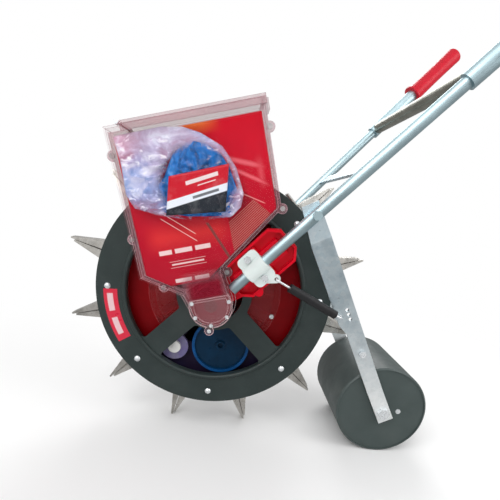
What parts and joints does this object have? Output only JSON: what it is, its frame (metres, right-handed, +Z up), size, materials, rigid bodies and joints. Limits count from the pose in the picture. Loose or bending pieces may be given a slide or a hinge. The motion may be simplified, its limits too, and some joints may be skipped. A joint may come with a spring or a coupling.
{
  "type": "walk-behind seed planter",
  "caption": "Hand-pushed roller seed planter: a drum wheel with opening planting beaks, a clear side hopper, two push handles and a sprung press roller behind.",
  "frame": {"origin": "bottom centre of the whole machine's box, on the ground", "axes": "+Z up; the machine is pushed towards -X and the handles rise towards +X; +Y across it, with the hopper at -Y"},
  "size_m": [0.7586, 0.4438, 0.794],
  "materials": {
    "rim_paint": "satin",
    "drum_red": "satin",
    "beak_steel": "satin",
    "zinc": "bright zinc",
    "dark_steel": "satin",
    "bracket_red": "gloss",
    "die_cast": "cast, satin",
    "grip_red": "matt",
    "clear_plastic": "clear",
    "roller_grey": "satin",
    "paper": "matt paper",
    "bag_film": "clear film",
    "blue_plastic": "gloss",
    "white_plastic": "gloss",
    "black_rubber": "matt",
    "bush_plastic": "satin",
    "dark_plastic": "satin"
  },
  "bodies": {
    "frame": {"stay_tubes": "zinc", "handle_tubes": "zinc", "handle_grips": "grip_red", "upper_cross_bar": "dark_steel", "lower_cross_strap": "zinc", "frame_bolts": "zinc", "hub_bracket_near": "bracket_red", "hub_bracket_far": "bracket_red", "tube_clamp_near": "die_cast", "tube_clamp_far": "die_cast", "clamp_bolts": "zinc", "axle_bushes": "bush_plastic", "arm_pivot_bolts": "zinc", "hopper_front_shell": "clear_plastic", "hopper_back_shell": "clear_plastic", "hopper_screws": "zinc", "lid_hinge_pin": "zinc", "meter_cover": "clear_plastic", "meter_cover_screws": "zinc", "seed_wiper": "black_rubber", "seed_spout": "dark_plastic", "leaflet": "paper", "spares_bag": "bag_film", "spring_rods": "zinc", "spring_sleeves": "black_rubber"},
    "wheel": {"near_side_disc": "rim_paint", "far_side_disc": "rim_paint", "tread_band": "drum_red", "rim_bolts": "zinc", "fixed_jaws": "beak_steel", "jaw_pins": "zinc", "jaw_springs": "zinc", "seed_distributor": "drum_red", "distributor_cover": "clear_plastic", "cover_screws": "zinc", "spare_roller_blue": "blue_plastic", "spare_roller_white": "white_plastic", "axle_shaft": "zinc", "drum_hub": "dark_steel", "metering_roller": "drum_red"},
    "jaw_01": {"moving_jaw_01": "beak_steel"},
    "jaw_02": {"moving_jaw_02": "beak_steel"},
    "jaw_03": {"moving_jaw_03": "beak_steel"},
    "jaw_04": {"moving_jaw_04": "beak_steel"},
    "jaw_05": {"moving_jaw_05": "beak_steel"},
    "jaw_06": {"moving_jaw_06": "beak_steel"},
    "jaw_07": {"moving_jaw_07": "beak_steel"},
    "jaw_08": {"moving_jaw_08": "beak_steel"},
    "jaw_09": {"moving_jaw_09": "beak_steel"},
    "jaw_10": {"moving_jaw_10": "beak_steel"},
    "jaw_11": {"moving_jaw_11": "beak_steel"},
    "jaw_12": {"moving_jaw_12": "beak_steel"},
    "lid": {"hopper_lid": "clear_plastic"},
    "press_arm": {"press_arm_near": "zinc", "press_arm_far": "zinc", "arm_mid_bolts": "zinc", "roller_axle": "zinc"},
    "press_roller": {"press_roller": "roller_grey", "roller_ends": "roller_grey", "roller_plugs": "zinc"}
  },
  "joints": [
    {"name": "wheel_spin", "type": "hinge", "parent": "frame", "child": "wheel", "pos_m": [-0.10848, 0, 0.27085], "axis": [0, -1, 0], "continuous": true},
    {"name": "jaw_01_open", "type": "hinge", "parent": "wheel", "child": "jaw_01", "pos_m": [-0.04293, 0, 0.07256], "axis": [0, -1, 0], "range_deg": [0, 20], "stiffness_Nm_per_rad": 1, "springref_deg": -20.05},
    {"name": "jaw_02_open", "type": "hinge", "parent": "wheel", "child": "jaw_02", "pos_m": [0.04744, 0, 0.1319], "axis": [0, -1, 0], "range_deg": [0, 20], "stiffness_Nm_per_rad": 1, "springref_deg": -20.05},
    {"name": "jaw_03_open", "type": "hinge", "parent": "wheel", "child": "jaw_03", "pos_m": [0.09602, 0, 0.22848], "axis": [0, -1, 0], "range_deg": [0, 20], "stiffness_Nm_per_rad": 1, "springref_deg": -20.05},
    {"name": "jaw_04_open", "type": "hinge", "parent": "wheel", "child": "jaw_04", "pos_m": [0.08981, 0, 0.3364], "axis": [0, -1, 0], "range_deg": [0, 20], "stiffness_Nm_per_rad": 1, "springref_deg": -20.05},
    {"name": "jaw_05_open", "type": "hinge", "parent": "wheel", "child": "jaw_05", "pos_m": [0.03047, 0, 0.42677], "axis": [0, -1, 0], "range_deg": [0, 20], "stiffness_Nm_per_rad": 1, "springref_deg": -20.05},
    {"name": "jaw_06_open", "type": "hinge", "parent": "wheel", "child": "jaw_06", "pos_m": [-0.06611, 0, 0.47535], "axis": [0, -1, 0], "range_deg": [0, 20], "stiffness_Nm_per_rad": 1, "springref_deg": -20.05},
    {"name": "jaw_07_open", "type": "hinge", "parent": "wheel", "child": "jaw_07", "pos_m": [-0.17404, 0, 0.46914], "axis": [0, -1, 0], "range_deg": [0, 20], "stiffness_Nm_per_rad": 1, "springref_deg": -20.05},
    {"name": "jaw_08_open", "type": "hinge", "parent": "wheel", "child": "jaw_08", "pos_m": [-0.2644, 0, 0.40979], "axis": [0, -1, 0], "range_deg": [0, 20], "stiffness_Nm_per_rad": 1, "springref_deg": -20.05},
    {"name": "jaw_09_open", "type": "hinge", "parent": "wheel", "child": "jaw_09", "pos_m": [-0.31298, 0, 0.31322], "axis": [0, -1, 0], "range_deg": [0, 20], "stiffness_Nm_per_rad": 1, "springref_deg": -20.05},
    {"name": "jaw_10_open", "type": "hinge", "parent": "wheel", "child": "jaw_10", "pos_m": [-0.30677, 0, 0.20529], "axis": [0, -1, 0], "range_deg": [0, 20], "stiffness_Nm_per_rad": 1, "springref_deg": -20.05},
    {"name": "jaw_11_open", "type": "hinge", "parent": "wheel", "child": "jaw_11", "pos_m": [-0.24743, 0, 0.11493], "axis": [0, -1, 0], "range_deg": [0, 20], "stiffness_Nm_per_rad": 1, "springref_deg": -20.05},
    {"name": "jaw_12_open", "type": "hinge", "parent": "wheel", "child": "jaw_12", "pos_m": [-0.15085, 0, 0.06635], "axis": [0, -1, 0], "range_deg": [0, 20], "stiffness_Nm_per_rad": 1, "springref_deg": -20.05},
    {"name": "lid_open", "type": "hinge", "parent": "frame", "child": "lid", "pos_m": [-0.25481, -0.111, 0.52324], "axis": [0, -1, 0], "range_deg": [0, 105]},
    {"name": "arm_swing", "type": "hinge", "parent": "frame", "child": "press_arm", "pos_m": [0.03628, 0, 0.41914], "axis": [0, -1, 0], "range_deg": [0, 12], "stiffness_Nm_per_rad": 40, "springref_deg": -17.19, "deforming": ["spring_rods", "spring_sleeves"]},
    {"name": "roller_spin", "type": "hinge", "parent": "press_arm", "child": "press_roller", "pos_m": [0.20952, 0, 0.082], "axis": [0, -1, 0], "continuous": true}
  ]
}
